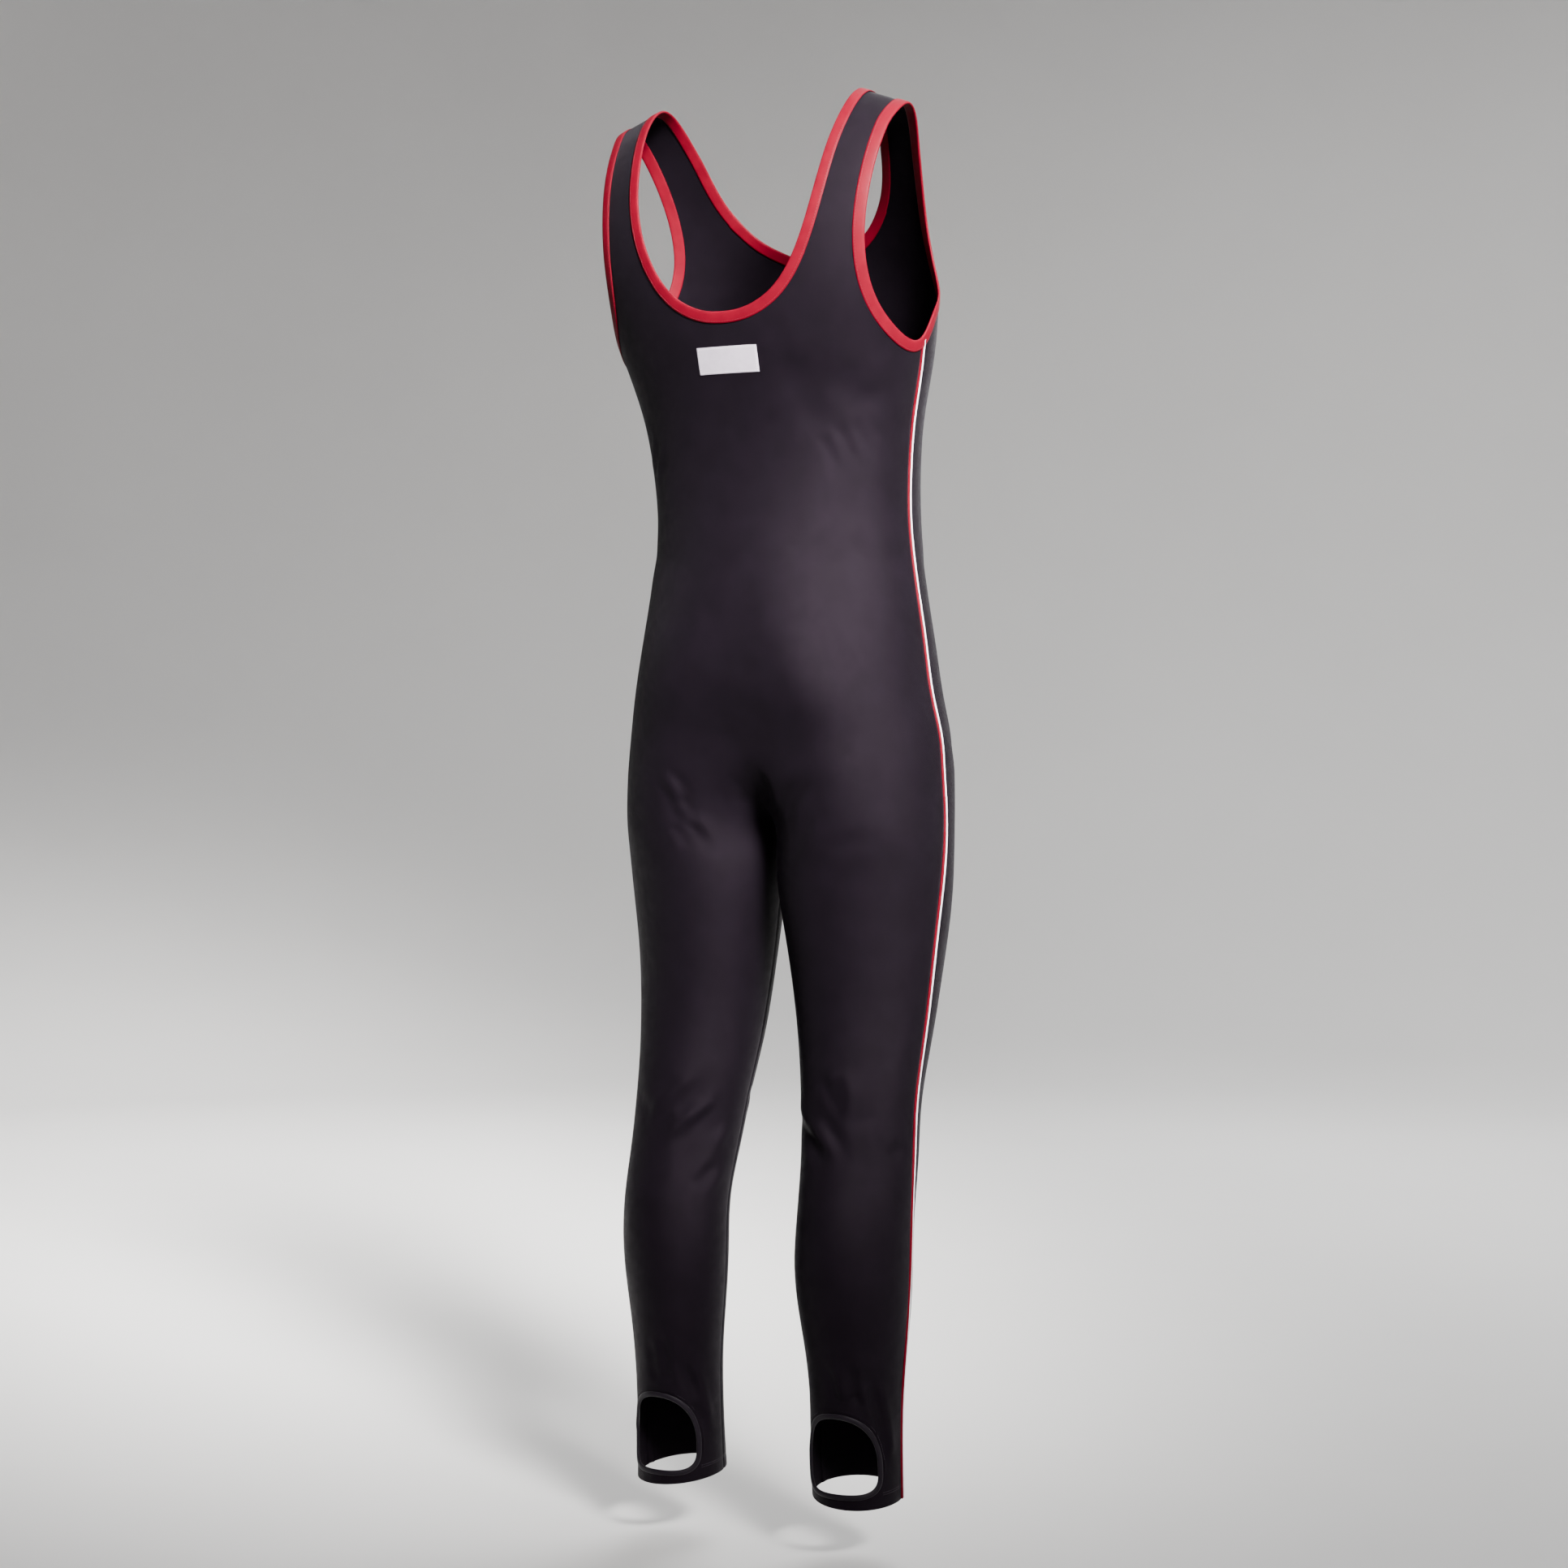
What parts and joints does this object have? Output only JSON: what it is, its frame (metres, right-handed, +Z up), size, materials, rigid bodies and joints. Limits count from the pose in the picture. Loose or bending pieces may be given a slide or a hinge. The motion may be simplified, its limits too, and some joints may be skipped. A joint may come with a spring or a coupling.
{
  "type": "unitard",
  "caption": "Full-length sleeveless stirrup unitard in smooth stretch knit, in its worn hollow form, with bound neck and armholes, piped side seams and open heels.",
  "frame": {"origin": "midway between the two shoulder straps, at the height where they rest on the wearer's shoulders", "axes": "+Z up, front of the garment towards -Y, wearer's left at +X"},
  "size_m": [0.37, 0.2522, 1.4463],
  "materials": {
    "knit": "smooth black stretch knit with a soft satin sheen",
    "red_binding": "red stretch binding",
    "red_stripe": "red knit strip",
    "white_piping": "white knit piping",
    "heel_binding": "black stretch binding",
    "label": "plain woven label"
  },
  "bodies": {
    "root": {"back_panel": "knit", "front_panel": "knit", "neck_binding": "red_binding", "armhole_binding_left": "red_binding", "armhole_binding_right": "red_binding", "side_piping_left_1": "white_piping", "side_piping_left_2": "white_piping", "side_piping_left_3": "white_piping", "side_piping_left_4": "white_piping", "side_piping_right_1": "white_piping", "side_piping_right_2": "white_piping", "side_piping_right_3": "white_piping", "side_piping_right_4": "white_piping", "side_stripe_left_1": "red_stripe", "side_stripe_left_2": "red_stripe", "side_stripe_left_3": "red_stripe", "side_stripe_left_4": "red_stripe", "side_stripe_right_1": "red_stripe", "side_stripe_right_2": "red_stripe", "side_stripe_right_3": "red_stripe", "side_stripe_right_4": "red_stripe", "heel_binding_left": "heel_binding", "heel_binding_right": "heel_binding", "label": "label"}
  },
  "joints": []
}
